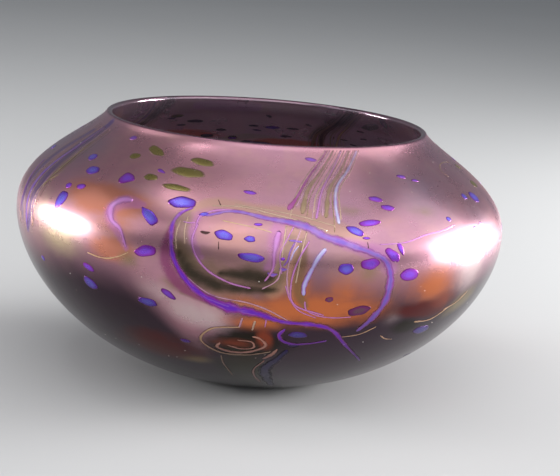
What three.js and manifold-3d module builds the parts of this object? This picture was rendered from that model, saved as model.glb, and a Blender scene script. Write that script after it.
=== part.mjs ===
// A hand-blown art glass bowl: a squat amethyst body with a narrow mouth, decorated with pulled
// thread ribbons, trailed loops and chips of coloured glass, all melted in flush with the wall.
//
// Millimetres, +Z up. The origin is the middle of the flat ring that the bowl stands on.
// A place on the outer wall is given as an azimuth in degrees, 0 at the front (-Y) and 90 on the
// right (+X), and a climb, the distance in mm up the wall from the edge of the base.

import * as THREE from "three";
import { mergeVertices } from "three/addons/utils/BufferGeometryUtils.js";
import Module from "manifold-3d";

// ---------------------------------------------------------------- driving dimensions

const BULGE_RADIUS = 95;
const BULGE_HEIGHT = 60.5;
const BASE_RADIUS = 34;
const MOUTH_RADIUS = 62;
const NECK_HEIGHT = 99;
const LIP_START = 98; // height at which the outer wall rolls over into the lip

const BELLY_POWER = 1.8; // roundness of the wall below the bulge
const SHOULDER_POWER = 2.4; // how late the shoulder turns in above the bulge
const NECK_POWER = 1.62; // how sharply the neck turns up again under the lip

const WALL = 4;
const FLOOR = 9;
const FLOOR_BLEND = 60; // climb over which the wall thins from the floor's thickness to its own
const FLOOR_DISH = 1; // how much lower the inside floor is in the middle
const REST_RADIUS = 33; // outer edge of the flat ring that the bowl stands on
const PONTIL_RADIUS = 20; // ground and polished recess inside that ring
const PONTIL_DEPTH = 2.5;

const ROUND_SEGMENTS = 56;
const OUTER_STEPS = 22;
const INNER_STEPS = 12;
const LIP_STEPS = 4;
const PONTIL_STEPS = 2;

const INLAY_TOP = 0.1; // the inlays lie this far under the wall's surface
const INLAY_BOTTOM = 1.2;
const GAP = 0.3; // room left round an inlay in its pocket
const POCKET_RISE = 1.5; // how far a pocket cutter stands proud of the wall
const TRAIL_STEP = 8; // spacing of the sections along a trail or thread
const CHIP_POINTS = 10;

const WALL_SAMPLES = 600;
const DEGREE = Math.PI / 180;

// ---------------------------------------------------------------- the wall

/** Outer radius at a height: a squashed round below the bulge, a shoulder and neck above it. */
function wallRadius(z) {
  if (z < BULGE_HEIGHT) {
    const fullDrop = (1 - (BASE_RADIUS / BULGE_RADIUS) ** 2) ** (-1 / BELLY_POWER);
    const drop = (BULGE_HEIGHT - z) / BULGE_HEIGHT / fullDrop;
    return BULGE_RADIUS * Math.sqrt(1 - drop ** BELLY_POWER);
  }
  const rise = (z - BULGE_HEIGHT) / (NECK_HEIGHT - BULGE_HEIGHT);
  const turnedIn = 1 - (1 - rise ** SHOULDER_POWER) ** NECK_POWER;
  return BULGE_RADIUS - (BULGE_RADIUS - MOUTH_RADIUS) * turnedIn;
}

/** Heights up the outer wall, each with its climb from the edge of the base. */
function sampleWall() {
  const samples = [{ z: 0, climb: 0 }];
  for (let i = 1; i <= WALL_SAMPLES; i += 1) {
    const below = samples[i - 1];
    const z = (LIP_START * (1 - Math.cos((Math.PI * i) / WALL_SAMPLES))) / 2;
    const step = Math.hypot(z - below.z, wallRadius(z) - wallRadius(below.z));
    samples.push({ z, climb: below.climb + step });
  }
  return samples;
}

const wallSamples = sampleWall();
const LIP_CLIMB = wallSamples.at(-1).climb;

function heightAt(climb) {
  const found = wallSamples.findIndex((sample) => sample.climb >= climb);
  const above = found < 0 ? WALL_SAMPLES : Math.max(found, 1);
  const low = wallSamples[above - 1];
  const high = wallSamples[above];
  return THREE.MathUtils.mapLinear(climb, low.climb, high.climb, low.z, high.z);
}

/** Radius and height of the outer wall at a climb, with the direction straight out of it. */
function wallAt(climb) {
  const z = heightAt(climb);
  const reach = 0.05;
  const lower = Math.max(z - reach, 0);
  const upper = Math.min(z + reach, LIP_START);
  const out = new THREE.Vector2(upper - lower, wallRadius(lower) - wallRadius(upper)).normalize();
  return { edge: new THREE.Vector2(wallRadius(z), z), out };
}

/** The point of the bowl at an azimuth and a climb, lifted straight out of the wall. */
function onWall(azimuth, climb, lift) {
  const { edge, out } = wallAt(climb);
  const radius = edge.x + out.x * lift;
  const angle = azimuth * DEGREE;
  return [radius * Math.sin(angle), -radius * Math.cos(angle), edge.y + out.y * lift];
}

// ---------------------------------------------------------------- the blown body

function wallThickness(climb) {
  const lowness = Math.max(1 - climb / FLOOR_BLEND, 0);
  return WALL + (FLOOR - WALL) * lowness ** 2;
}

function pontilProfile() {
  const points = [];
  for (let i = 0; i < PONTIL_STEPS; i += 1) {
    const part = i / PONTIL_STEPS;
    points.push(new THREE.Vector2(PONTIL_RADIUS * part, PONTIL_DEPTH * (1 - part ** 2)));
  }
  points.push(new THREE.Vector2(PONTIL_RADIUS, 0), new THREE.Vector2(REST_RADIUS, 0));
  return points;
}

function outerProfile() {
  const points = [];
  for (let i = 1; i <= OUTER_STEPS; i += 1) points.push(wallAt((LIP_CLIMB * i) / OUTER_STEPS).edge);
  return points;
}

/** A half round of the wall's thickness, from the outer wall over to the inner one. */
function lipProfile() {
  const { edge, out } = wallAt(LIP_CLIMB);
  const middle = edge.clone().addScaledVector(out, -WALL / 2);
  const points = [];
  for (let i = 1; i < LIP_STEPS; i += 1) {
    const spoke = out.clone().multiplyScalar(WALL / 2);
    points.push(spoke.rotateAround(new THREE.Vector2(), (Math.PI * i) / LIP_STEPS).add(middle));
  }
  return points;
}

function innerProfile() {
  const points = [];
  for (let i = INNER_STEPS; i >= 0; i -= 1) {
    const climb = (LIP_CLIMB * i) / INNER_STEPS;
    const { edge, out } = wallAt(climb);
    points.push(edge.addScaledVector(out, -wallThickness(climb)));
  }
  points.push(new THREE.Vector2(0, FLOOR - FLOOR_DISH));
  return points;
}

function bodyGeometry() {
  const profile = [...pontilProfile(), ...outerProfile(), ...lipProfile(), ...innerProfile()];
  return new THREE.LatheGeometry(profile, ROUND_SEGMENTS).rotateX(Math.PI / 2);
}

// ---------------------------------------------------------------- inlays melted into the wall

// Every inlay starts as a unit solid from -0.5 to 0.5: x along it, y across it and z through its
// depth. A layout turns x and y into an azimuth and a climb, and the depth goes into the wall.

/** The azimuth and climb reached by going mm round the wall and up it from a place on it. */
function stepFrom(azimuth, climb, round, up) {
  return [azimuth + round / wallAt(climb).edge.x / DEGREE, climb + up];
}

/** A drop or lens: an ellipse whose width falls off towards its far end as the taper grows. */
function chipLayout({ azimuth, climb, length, width, tilt, taper }, grow) {
  return (x, y) => {
    const along = (length + 2 * grow) * x;
    const across = (width + 2 * grow) * y * (1 - 2 * taper * x);
    const turned = new THREE.Vector2(along, across).rotateAround(new THREE.Vector2(), tilt * DEGREE);
    return stepFrom(azimuth, climb, turned.x, turned.y);
  };
}

/** The smooth middle line of a route of [azimuth, climb, width], laid flat at the bulge. */
function routeCurve(route) {
  const knots = route.map(
    ([azimuth, climb, width]) => new THREE.Vector3(azimuth * DEGREE * BULGE_RADIUS, climb, width),
  );
  return new THREE.CatmullRomCurve3(knots, false, "centripetal");
}

/** A band square to its route, as wide as the route says, run on a little past both ends. */
function trailLayout(route, grow) {
  const curve = routeCurve(route);
  return (x, y) => {
    const { x: flat, y: climb, z: width } = curve.getPointAt(x + 0.5);
    const azimuth = flat / BULGE_RADIUS / DEGREE;
    const heading = curve.getTangentAt(x + 0.5);
    const narrowing = wallAt(climb).edge.x / BULGE_RADIUS;
    const along = new THREE.Vector2(heading.x * narrowing, heading.y).normalize();
    const across = (width + 2 * grow) * y;
    const overrun = Math.abs(x) > 0.499 ? Math.sign(x) * grow : 0;
    const round = along.x * overrun - along.y * across;
    const up = along.y * overrun + along.x * across;
    return stepFrom(azimuth, climb, round, up);
  };
}

function chipBlank() {
  return new THREE.CylinderGeometry(0.5, 0.5, 1, CHIP_POINTS, 1).rotateX(Math.PI / 2);
}

function trailBlank(route) {
  const steps = Math.max(Math.round(routeCurve(route).getLength() / TRAIL_STEP), 3);
  return new THREE.BoxGeometry(1, 1, 1, steps, 1, 1);
}

/** A unit solid bent round onto the wall by its layout, from a depth up to a lift above it. */
function drape(blank, layout, bottom, top) {
  blank.deleteAttribute("normal");
  blank.deleteAttribute("uv");
  const solid = mergeVertices(blank, 1e-4);
  const places = solid.getAttribute("position");
  for (let i = 0; i < places.count; i += 1) {
    const [azimuth, climb] = layout(places.getX(i), places.getY(i));
    const lift = THREE.MathUtils.lerp(bottom, top, places.getZ(i) + 0.5);
    places.setXYZ(i, ...onWall(azimuth, climb, lift));
  }
  return solid;
}

function inlayGeometry({ blank, layout }) {
  return drape(blank(), layout(0), -INLAY_BOTTOM, -INLAY_TOP);
}

function pocketGeometry({ blank, layout }) {
  return drape(blank(), layout(GAP), -INLAY_BOTTOM - GAP, POCKET_RISE);
}

// ---------------------------------------------------------------- coloured glasses

function glass(color, roughness, metalness) {
  return () => new THREE.MeshStandardMaterial({ color, roughness, metalness });
}

const amethyst = glass(0xa5808c, 0.22, 0.45);
const blue = glass(0x5a62d8, 0.2, 0.3);
const violet = glass(0x7a3fc0, 0.2, 0.3);
const magenta = glass(0x9c3f8a, 0.25, 0.3);
const pink = glass(0xd08fb4, 0.25, 0.3);
const olive = glass(0x7d7440, 0.3, 0.2);
const gold = glass(0xc9a56e, 0.25, 0.4);
const white = glass(0xc3c4ec, 0.2, 0.3);
const green = glass(0x3f5f2c, 0.3, 0.1);
const dark = glass(0x35242e, 0.3, 0.1);

// ---------------------------------------------------------------- threads and trails

// Each route is a list of [azimuth, climb, width].

const frontRibbon = {
  front_ribbon_magenta_thread: [
    magenta, [20.4, 140.5, 0.8], [12.8, 130, 1], [8.8, 120, 1.3], [6.4, 114.2, 2.6],
  ],
  front_ribbon_left_olive_thread: [
    olive, [22.8, 140.5, 1.2], [16.3, 132, 1.6], [11.9, 124, 2.2], [9.6, 112.8, 2.6],
  ],
  front_ribbon_pink_thread: [
    pink, [25.6, 140.5, 0.8], [20.1, 133, 1], [15.4, 123, 1.2], [12.7, 111, 1.2],
  ],
  front_ribbon_right_olive_thread: [
    olive, [28.4, 140.5, 1.2], [23.1, 133.5, 1.8], [17.6, 124, 2.2], [15, 111.5, 2.2],
  ],
  front_ribbon_white_thread: [
    white, [31.6, 140.5, 0.8], [25.6, 134, 1], [20, 125.5, 1.2], [18.1, 117, 1.3], [17.9, 109, 1.2],
  ],
};

const leftRibbon = {
  left_ribbon_blue_thread: [
    blue, [-67.1, 139, 1.4], [-66.6, 124, 2], [-67.2, 114, 2.4], [-66.5, 102, 2.4], [-63.6, 88, 1.4],
  ],
  left_ribbon_violet_thread: [
    violet, [-76, 114, 1], [-73.8, 107, 1.4], [-71.2, 100, 1.6], [-70, 92, 1],
  ],
  left_ribbon_olive_thread: [
    olive, [-62.4, 139, 1.4], [-62.4, 129, 2], [-61, 118, 2.4], [-61.2, 105, 1.4],
  ],
};

const backRibbons = {
  back_right_ribbon_olive_thread: [
    olive, [148, 140.5, 1.4], [155, 134, 1.8], [163, 122, 2.2], [166, 108, 2], [165, 93, 1.2],
  ],
  back_right_ribbon_dark_thread: [
    dark, [144.6, 140.5, 2], [151.5, 134.5, 2.4], [159.3, 122, 2.8], [162, 108, 2.4], [161, 95, 1.2],
  ],
  back_right_ribbon_pale_thread: [
    gold, [141, 140.5, 1], [148, 135, 1.2], [155.6, 122, 1.4], [158.4, 108, 1.4], [157.6, 98, 1],
  ],
  back_left_ribbon_dark_thread: [
    dark, [-135, 140.5, 2.2], [-136, 132, 2.6], [-134, 123, 2.4], [-133, 110, 2], [-134, 96, 1.2],
  ],
  back_left_ribbon_violet_thread: [
    violet, [-130.6, 140.5, 1.2], [-131.2, 131, 1.6], [-129.3, 121, 1.6], [-128.2, 106, 1.4],
    [-129.5, 90, 1],
  ],
};

const loopTrails = {
  outer_loop_trail: [
    violet, [-18.2, 108.6, 1.2], [-18.2, 100, 1.4], [-16.8, 92, 1.8], [-12.4, 83, 2.4], [-6, 77.4, 4],
    [0.4, 75.6, 3], [7.4, 72.2, 1.6], [13.5, 71.4, 1.8], [18.2, 69, 1.6], [23.4, 60.4, 1.2],
    [32, 48, 0.8],
  ],
  inner_loop_trail: [
    blue, [-11.9, 109, 1], [-6, 112, 1.2], [3, 110, 1.8], [11, 107, 2.8], [17.6, 103, 3],
    [24.8, 99, 2.6], [28.6, 94, 2.8], [29.6, 86, 3], [28.8, 76, 2.4], [23.4, 66.4, 1.4],
  ],
  inner_loop_tail: [
    pink, [-13, 106, 1], [-13.5, 99, 1.2], [-10.6, 91.4, 1.2], [-5.4, 86.8, 1], [-0.6, 85.2, 0.8],
  ],
  eye_loop_trail: [
    violet, [7.6, 69, 1], [6.5, 66, 1.4], [7.4, 63, 1.4], [10, 61.2, 1], [14, 61.6, 0.9],
    [18.2, 63.2, 0.8],
  ],
  pink_hook_trail: [
    pink, [-30, 110.6, 1.6], [-32.8, 110, 2.4], [-34.6, 106.6, 2.6], [-33.2, 102, 1.6],
    [-30.1, 99, 1], [-28, 93.4, 0.8],
  ],
  pink_bar_trail: [
    pink, [4.5, 106, 2.4], [4, 102.4, 2.8], [3.6, 98, 1.8], [3.5, 92.6, 1], [2, 88, 0.8],
  ],
  back_loop_trail: [
    violet, [171, 101, 1.2], [176, 107, 2], [184, 108.6, 2.8], [191, 103, 2.8], [193, 94, 2.6],
    [188, 85, 2.2], [179, 81, 1.8], [171, 84, 1.2],
  ],
  side_loop_trail: [
    violet, [-90, 98, 1.2], [-94, 105, 1.8], [-102, 107.4, 2.6], [-109, 101, 2.6], [-109, 91, 2.2],
    [-102, 84, 1.8], [-93, 83, 1.2],
  ],
};

const looseThreads = {
  white_strand: [
    white, [14.1, 99.6, 1.4], [12.6, 96, 1.6], [11, 89, 1.6], [10.8, 83.4, 1],
  ],
  belly_pink_thread: [
    pink, [11, 103, 0.8], [8.6, 96, 0.9], [7.5, 88, 0.9], [8.4, 80.4, 0.9], [15.6, 75.6, 0.8],
  ],
  low_blue_thread: [
    blue, [9.3, 57.6, 1.2], [7.4, 51, 2], [4.9, 43, 3], [6.6, 32, 2.4], [10, 20, 1.2],
  ],
  low_gold_thread: [
    gold, [4.2, 49.6, 0.8], [1.8, 42, 1], [2.2, 35, 1], [5, 26, 0.8],
  ],
  low_swirl_thread: [
    gold, [5.4, 56, 0.8], [-1, 52.8, 1], [-8, 53.4, 1.2], [-11.8, 59.6, 1.2], [-9, 66.2, 1],
    [-2.4, 68.6, 0.8],
  ],
  right_gold_thread: [
    gold, [40.4, 69.6, 0.8], [46, 69.4, 0.9], [51, 73.6, 0.8],
  ],
};

// ---------------------------------------------------------------- chips

function chip(material, azimuth, climb, length, width, tilt, taper) {
  return { material, azimuth, climb, length, width, tilt, taper };
}

const chips = {
  leaf_chip: chip(blue, -18, 113.2, 10, 5, 4, 0.1),
  triangle_chip: chip(violet, -35.6, 119.3, 6.6, 5, 2, 0.4),
  eye_chip: chip(blue, 10.8, 66.2, 6.6, 3.2, -4, 0),
  ring_chip: chip(magenta, 23.4, 77.4, 8.8, 4, 8, 0),
  left_shoulder_chip: chip(blue, -48.3, 118.9, 6.6, 4.2, 8, 0),
  left_drop_chip: chip(blue, -50.8, 103.8, 7.4, 5.4, 75, -0.3),
  left_small_chip: chip(violet, -47.1, 111, 4.6, 2.4, 8, 0),
  belly_drop_chip: chip(blue, -24.6, 106, 9.4, 3.6, -34, -0.4),
  belly_violet_chip: chip(violet, -23.4, 93.6, 8.8, 3.8, 14, 0),
  lower_left_chip: chip(blue, -38.8, 76.4, 7, 4.2, -24, 0),
  lower_violet_chip: chip(violet, -18.2, 79.2, 6.2, 2.6, -34, 0),
  lower_blue_chip: chip(blue, -23.4, 74.2, 7.6, 3.4, -4, 0),
  loop_first_chip: chip(blue, -7.1, 102.7, 6.6, 3.4, -10, 0.1),
  loop_second_chip: chip(blue, -1.6, 102.2, 3.8, 2.2, 2, 0),
  loop_low_chip: chip(blue, -1, 96, 9, 3, -5, 0),
  right_upper_chip: chip(violet, 29.5, 119.6, 5.4, 2.6, -12, 0),
  right_second_chip: chip(violet, 31.8, 115.6, 5.6, 2.6, -10, 0),
  right_long_chip: chip(violet, 25.4, 109.6, 9, 2.5, 6, 0),
  right_blue_chip: chip(blue, 21.4, 106.6, 6.4, 3.2, -22, 0),
  inside_loop_chip: chip(blue, 18.8, 93.4, 5.6, 4, -4, 0),
  loop_bend_chip: chip(violet, 23.6, 95, 6.6, 3.6, 6, 0),
  outside_bend_chip: chip(violet, 31.1, 98.2, 5.4, 3.4, -42, 0),
  outside_loop_chip: chip(violet, 35, 90.5, 8, 4.6, -2, 0),
  far_right_chip: chip(blue, 68.2, 113.8, 6.6, 5, -25, 0),
  low_right_chip: chip(blue, 45.4, 64, 9.6, 4, -6, 0),
  upper_olive_chip: chip(olive, -34, 134.7, 8.6, 3.8, -20, 0),
  neck_olive_chip: chip(olive, -17.7, 132.9, 9.6, 3.6, -8, 0),
  long_olive_chip: chip(olive, -20.3, 127, 13.4, 4.8, -5, 0),
  faint_olive_chip: chip(olive, -21.2, 119.2, 12, 2.8, -4, 0),
  back_green_chip: chip(green, 135, 134, 9, 3.4, 20, 0),
  back_neck_chip: chip(dark, -155, 127, 8, 3, 4, 0),
  back_middle_chip: chip(blue, 178, 124, 7, 3, -6, 0),
};

// ---------------------------------------------------------------- putting the bowl together

/** Every inlay by name, with its glass, its unit solid and how that is laid on the wall. */
function listInlays() {
  const trails = { ...frontRibbon, ...leftRibbon, ...backRibbons, ...loopTrails, ...looseThreads };
  const inlays = [];
  for (const [name, [material, ...route]] of Object.entries(trails)) {
    const blank = () => trailBlank(route);
    const layout = (grow) => trailLayout(route, grow);
    inlays.push({ name, material, blank, layout });
  }
  for (const [name, facts] of Object.entries(chips)) {
    const layout = (grow) => chipLayout(facts, grow);
    inlays.push({ name, material: facts.material, blank: chipBlank, layout });
  }
  return inlays;
}

function solidFrom(wasm, geometry) {
  const bare = geometry.clone();
  bare.deleteAttribute("normal");
  bare.deleteAttribute("uv");
  const merged = mergeVertices(bare, 1e-4);
  const mesh = new wasm.Mesh({
    numProp: 3,
    vertProperties: merged.getAttribute("position").array,
    triVerts: new Uint32Array(merged.index.array),
  });
  return new wasm.Manifold(mesh);
}

function geometryFrom(solid) {
  const mesh = solid.getMesh();
  const geometry = new THREE.BufferGeometry();
  geometry.setAttribute("position", new THREE.BufferAttribute(mesh.vertProperties, 3));
  geometry.setIndex(new THREE.BufferAttribute(mesh.triVerts, 1));
  return geometry;
}

function namedMesh(name, geometry, material) {
  geometry.computeVertexNormals();
  const mesh = new THREE.Mesh(geometry, material());
  mesh.name = name;
  return mesh;
}

/** The body with a pocket for every inlay cut out of its outer wall. */
function cutBody(wasm, inlays) {
  let body = solidFrom(wasm, bodyGeometry());
  for (const inlay of inlays) body = body.subtract(solidFrom(wasm, pocketGeometry(inlay)));
  return geometryFrom(body);
}

const wasm = await Module();
wasm.setup();

const inlays = listInlays();
const bowl = new THREE.Group();
bowl.add(namedMesh("blown_body", cutBody(wasm, inlays), amethyst));
for (const inlay of inlays) {
  bowl.add(namedMesh(inlay.name, inlayGeometry(inlay), inlay.material));
}

export default bowl;
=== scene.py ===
"""A hand-blown art glass bowl: an amethyst body with a lustre film outside, and pulled threads,
trailed loops and chips of coloured glass melted into the wall.

Lengths are in millimetres until a mesh is made, which is in metres. A place on the outer wall is an
azimuth in degrees, 0 at the front (-Y) and 90 on the right (+X), and a climb, the distance up the
wall from the edge of the base.
"""

import math

import bpy
import numpy as np
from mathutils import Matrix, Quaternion, Vector


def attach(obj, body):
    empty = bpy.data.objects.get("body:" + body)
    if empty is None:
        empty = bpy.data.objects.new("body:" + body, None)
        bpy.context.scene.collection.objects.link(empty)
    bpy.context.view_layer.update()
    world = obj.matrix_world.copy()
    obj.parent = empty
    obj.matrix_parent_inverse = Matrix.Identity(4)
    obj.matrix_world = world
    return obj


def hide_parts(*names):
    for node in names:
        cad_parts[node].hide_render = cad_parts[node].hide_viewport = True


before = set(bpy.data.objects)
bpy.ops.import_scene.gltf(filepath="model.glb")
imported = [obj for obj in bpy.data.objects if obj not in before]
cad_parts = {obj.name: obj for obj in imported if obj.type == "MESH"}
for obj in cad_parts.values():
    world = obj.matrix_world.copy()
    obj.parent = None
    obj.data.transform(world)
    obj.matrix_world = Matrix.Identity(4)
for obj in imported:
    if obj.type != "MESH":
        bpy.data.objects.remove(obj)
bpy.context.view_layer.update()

MM = 0.001

# ---- sizes of the bowl

BULGE_RADIUS = 95.0
BULGE_HEIGHT = 60.5
BASE_RADIUS = 34.0
MOUTH_RADIUS = 62.0
NECK_HEIGHT = 99.0
LIP_START = 98.0

BELLY_POWER = 1.8
SHOULDER_POWER = 2.4
NECK_POWER = 1.62

WALL = 4.0
LIP_THICK = 2.6
LIP_BLEND = 10.0
FLOOR = 9.0
FLOOR_BLEND = 60.0
FLOOR_DISH = 1.0
REST_RADIUS = 33.0
PONTIL_RADIUS = 20.0
PONTIL_DEPTH = 2.5

ROUND_STEPS = 360
OUTER_STEPS = 170
INNER_STEPS = 60
LIP_STEPS = 12

LIP_FILM = 0.25
INNER_FILM_DEPTH = 12.0
INNER_FILM_END = 132.0
# Painted shade towards the foot: the climb where it sets in, the dip near the front and how deep the
# change runs.
FOOT_SHADE_CLIMB = 84.0
FOOT_SHADE_DIP = 24.0
FOOT_SHADE_DIP_AZIMUTH = -12.0
FOOT_SHADE_DIP_HALF_WIDTH = 10.0
FOOT_SHADE_DEPTH = 44.0

# Heights in metres over which a colour sets in: a painted highlight on the shoulder, the neck and the lip.

SHOULDER_HIGHLIGHT = (0.060, 0.072)
NECK_ZONE = (0.078, 0.098)
LIP_ZONE = (0.0978, 0.0985)

ROUTE_SAMPLES = 60
FEWEST_SECTIONS = 8
BAND_SPACING = 1.2
BAND_WINDOW = 12.0

dice = np.random.default_rng(7)

# ---- the wall


def wall_radius(height):
    """Outer radius: a squashed round below the bulge, a shoulder and a turned-up neck above it."""
    full_drop = (1 - (BASE_RADIUS / BULGE_RADIUS) ** 2) ** (-1 / BELLY_POWER)
    drop = np.clip((BULGE_HEIGHT - height) / BULGE_HEIGHT, 0, 1) / full_drop
    rise = np.clip((height - BULGE_HEIGHT) / (NECK_HEIGHT - BULGE_HEIGHT), 0, 1)
    turned_in = 1 - (1 - rise**SHOULDER_POWER) ** NECK_POWER
    belly = BULGE_RADIUS * np.sqrt(1 - drop**BELLY_POWER)
    shoulder = BULGE_RADIUS - (BULGE_RADIUS - MOUTH_RADIUS) * turned_in
    return np.where(height < BULGE_HEIGHT, belly, shoulder)


HEIGHTS = LIP_START * (1 - np.cos(np.linspace(0, math.pi, 2001))) / 2
RADII = wall_radius(HEIGHTS)
CLIMBS = np.concatenate([[0], np.cumsum(np.hypot(np.diff(HEIGHTS), np.diff(RADII)))])
LIP_CLIMB = CLIMBS[-1]
LEANS = np.arctan2(-np.gradient(RADII, CLIMBS), np.gradient(HEIGHTS, CLIMBS))


def wall_at(climb):
    """Radius, height and upward lean of the outward direction at a climb."""
    return [np.interp(climb, CLIMBS, values) for values in (RADII, HEIGHTS, LEANS)]


def on_wall(azimuth, climb, lift):
    """Points of the bowl in metres at azimuths and climbs, lifted straight out of the wall."""
    radius, height, lean = wall_at(climb)
    angle = np.radians(azimuth)
    reach = radius + lift * np.cos(lean)
    z = height + lift * np.sin(lean)
    return np.stack([reach * np.sin(angle), -reach * np.cos(angle), z], axis=-1) * MM


def smooth_route(route, spacing):
    """Points at even spacing along a centripetal curve through the route, and the way it heads."""
    flat = np.array(route, dtype=float) * [math.radians(BULGE_RADIUS), 1, 1]
    ends = np.concatenate([[2 * flat[0] - flat[1]], flat, [2 * flat[-1] - flat[-2]]])
    gaps = np.sqrt(np.linalg.norm(np.diff(ends, axis=0), axis=1))
    times = np.concatenate([[0], np.cumsum(gaps)])
    fine = np.linspace(times[1], times[-2], ROUTE_SAMPLES * len(route))
    span = np.clip(np.searchsorted(times, fine, side="right") - 1, 1, len(ends) - 3)
    t0, t1, t2, t3 = (times[span + shift][:, None] for shift in (-1, 0, 1, 2))
    p0, p1, p2, p3 = (ends[span + shift] for shift in (-1, 0, 1, 2))
    t = fine[:, None]
    a1 = (t1 - t) / (t1 - t0) * p0 + (t - t0) / (t1 - t0) * p1
    a2 = (t2 - t) / (t2 - t1) * p1 + (t - t1) / (t2 - t1) * p2
    a3 = (t3 - t) / (t3 - t2) * p2 + (t - t2) / (t3 - t2) * p3
    b1 = (t2 - t) / (t2 - t0) * a1 + (t - t0) / (t2 - t0) * a2
    b2 = (t3 - t) / (t3 - t1) * a2 + (t - t1) / (t3 - t1) * a3
    curve = (t2 - t) / (t2 - t1) * b1 + (t - t1) / (t2 - t1) * b2
    narrowing = wall_at(curve[:, 1])[0] / BULGE_RADIUS
    steps = np.hypot(np.diff(curve[:, 0]) * narrowing[1:], np.diff(curve[:, 1]))
    run = np.concatenate([[0], np.cumsum(steps)])
    even = np.linspace(0, run[-1], max(int(run[-1] / spacing), FEWEST_SECTIONS))
    path = np.stack([np.interp(even, run, curve[:, i]) for i in range(3)], axis=-1)
    slope = np.gradient(path, even, axis=0)
    slope[:, 0] *= wall_at(path[:, 1])[0] / BULGE_RADIUS
    heading = slope[:, :2] / np.linalg.norm(slope[:, :2], axis=1, keepdims=True)
    return path[:, 0] / math.radians(BULGE_RADIUS), path[:, 1], path[:, 2], heading, even


# ---- meshes


def grid_faces(rows, columns, wraps):
    """Quads of a grid of points, row after row, closed round each row where it wraps."""
    row = np.arange(rows - 1)[:, None]
    column = np.arange(columns if wraps else columns - 1)[None, :]
    after = (column + 1) % columns
    corners = [row * columns + column, row * columns + after]
    corners += [(row + 1) * columns + after, (row + 1) * columns + column]
    return np.stack(np.broadcast_arrays(*corners), axis=-1).reshape(-1, 4)


def new_piece(name, points, quads, fans=()):
    """A smooth mesh from points, quads and fans; each fan is a middle point and the ring round it."""
    triangles = [
        np.stack([np.full(len(ring), middle), ring, np.roll(ring, -1)], axis=-1) for middle, ring in fans
    ]
    faces = [quads.reshape(-1)] + [fan.reshape(-1) for fan in triangles]
    counts = [np.full(len(quads), 4)] + [np.full(len(fan), 3) for fan in triangles]
    corners = np.concatenate(faces).astype(np.int32)
    counts = np.concatenate(counts).astype(np.int32)
    mesh = bpy.data.meshes.new(name)
    mesh.vertices.add(len(points))
    mesh.vertices.foreach_set("co", np.ascontiguousarray(points, dtype=np.float32).reshape(-1))
    mesh.loops.add(len(corners))
    mesh.loops.foreach_set("vertex_index", corners)
    mesh.polygons.add(len(counts))
    starts = np.concatenate([[0], np.cumsum(counts)[:-1]]).astype(np.int32)
    mesh.polygons.foreach_set("loop_start", starts)
    mesh.polygons.foreach_set("use_smooth", np.ones(len(counts), dtype=bool))
    mesh.update(calc_edges=True)
    mesh.validate()
    piece = bpy.data.objects.new(name, mesh)
    bpy.context.scene.collection.objects.link(piece)
    return piece


def paint(piece, name, values):
    """Stores one number for each point of a piece, for its material to read."""
    layer = piece.data.attributes.new(name, "FLOAT", "POINT")
    layer.data.foreach_set("value", np.ascontiguousarray(values, dtype=np.float32).reshape(-1))


def finish_piece(piece, material, replaced=()):
    """Gives a piece its glass, its body and the solids that it stands for."""
    piece.data.materials.append(material)
    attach(piece, "root")
    if replaced:
        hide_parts(*replaced)


# ---- shader arithmetic


class Wire:
    """A socket of a material on which Python's arithmetic adds Math nodes."""

    def __init__(self, recipe, socket):
        self.recipe = recipe
        self.socket = socket

    def _math(self, operation, left, right):
        return self.recipe.node("ShaderNodeMath", {"operation": operation}, {0: left, 1: right})

    def __add__(self, other):
        return self._math("ADD", self, other)

    def __sub__(self, other):
        return self._math("SUBTRACT", self, other)

    def __mul__(self, other):
        return self._math("MULTIPLY", self, other)

    def __rsub__(self, other):
        return self._math("SUBTRACT", other, self)

    __radd__ = __add__
    __rmul__ = __mul__

    def edge(self, low, high):
        """0 below low, 1 above high, and a smooth step between them."""
        settings = {"interpolation_type": "SMOOTHSTEP"}
        return self.recipe.node("ShaderNodeMapRange", settings, {0: self, 1: low, 2: high})


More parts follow.
